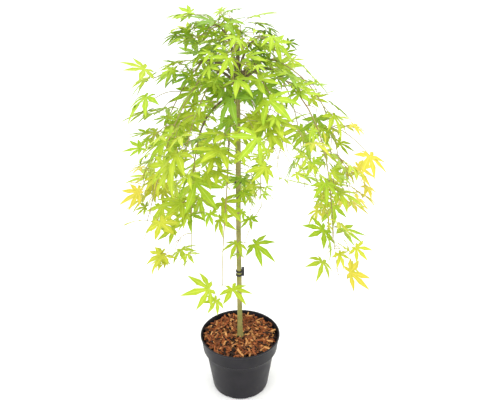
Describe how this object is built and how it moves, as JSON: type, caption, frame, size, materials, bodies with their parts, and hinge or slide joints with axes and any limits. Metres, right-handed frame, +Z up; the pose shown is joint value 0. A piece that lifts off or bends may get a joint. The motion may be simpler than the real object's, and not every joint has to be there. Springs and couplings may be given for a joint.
{
  "type": "potted weeping japanese maple",
  "caption": "Weeping japanese maple grafted on a slim straight stem, with arching boughs and hanging leafy shoots, in a round nursery pot with bark mulch.",
  "frame": {"origin": "centre of the flat underside of the pot", "axes": "+Z up along the stem, -Y towards the viewer of the picture, +X to the viewer's right"},
  "size_m": [0.5645, 0.5278, 0.8799],
  "materials": {
    "pot_plastic": "satin",
    "bark_mulch": "rough",
    "bark": "matte",
    "tie_rubber": "matte",
    "foliage": "matte"
  },
  "bodies": {
    "root": {"pot": "pot_plastic", "bark_mulch": "bark_mulch", "trunk": "bark", "tie_upper": "tie_rubber", "tie_lower": "tie_rubber", "bough_back": "bark", "bough_back_left": "bark", "bough_crown_back": "bark", "bough_crown_front": "bark", "bough_crown_left": "bark", "bough_crown_right": "bark", "bough_front": "bark", "bough_front_left": "bark", "bough_front_right": "bark", "bough_inner_left": "bark", "bough_left": "bark", "bough_left_front": "bark", "bough_long_shoot": "bark", "bough_right": "bark", "bough_right_back": "bark", "bough_right_front": "bark", "foliage_back_curtain": "foliage", "foliage_back_left_curtain": "foliage", "foliage_crown_back_spray": "foliage", "foliage_crown_front_spray": "foliage", "foliage_crown_left_spray": "foliage", "foliage_crown_right_spray": "foliage", "foliage_front_curtain": "foliage", "foliage_front_left_curtain": "foliage", "foliage_front_right_curtain": "foliage", "foliage_inner_back_curtain": "foliage", "foliage_inner_left_curtain": "foliage", "foliage_inner_right_curtain": "foliage", "foliage_left_curtain": "foliage", "foliage_left_front_curtain": "foliage", "foliage_long_shoot_tip": "foliage", "foliage_right_back_curtain": "foliage", "foliage_right_curtain": "foliage", "foliage_right_front_curtain": "foliage"}
  },
  "joints": []
}
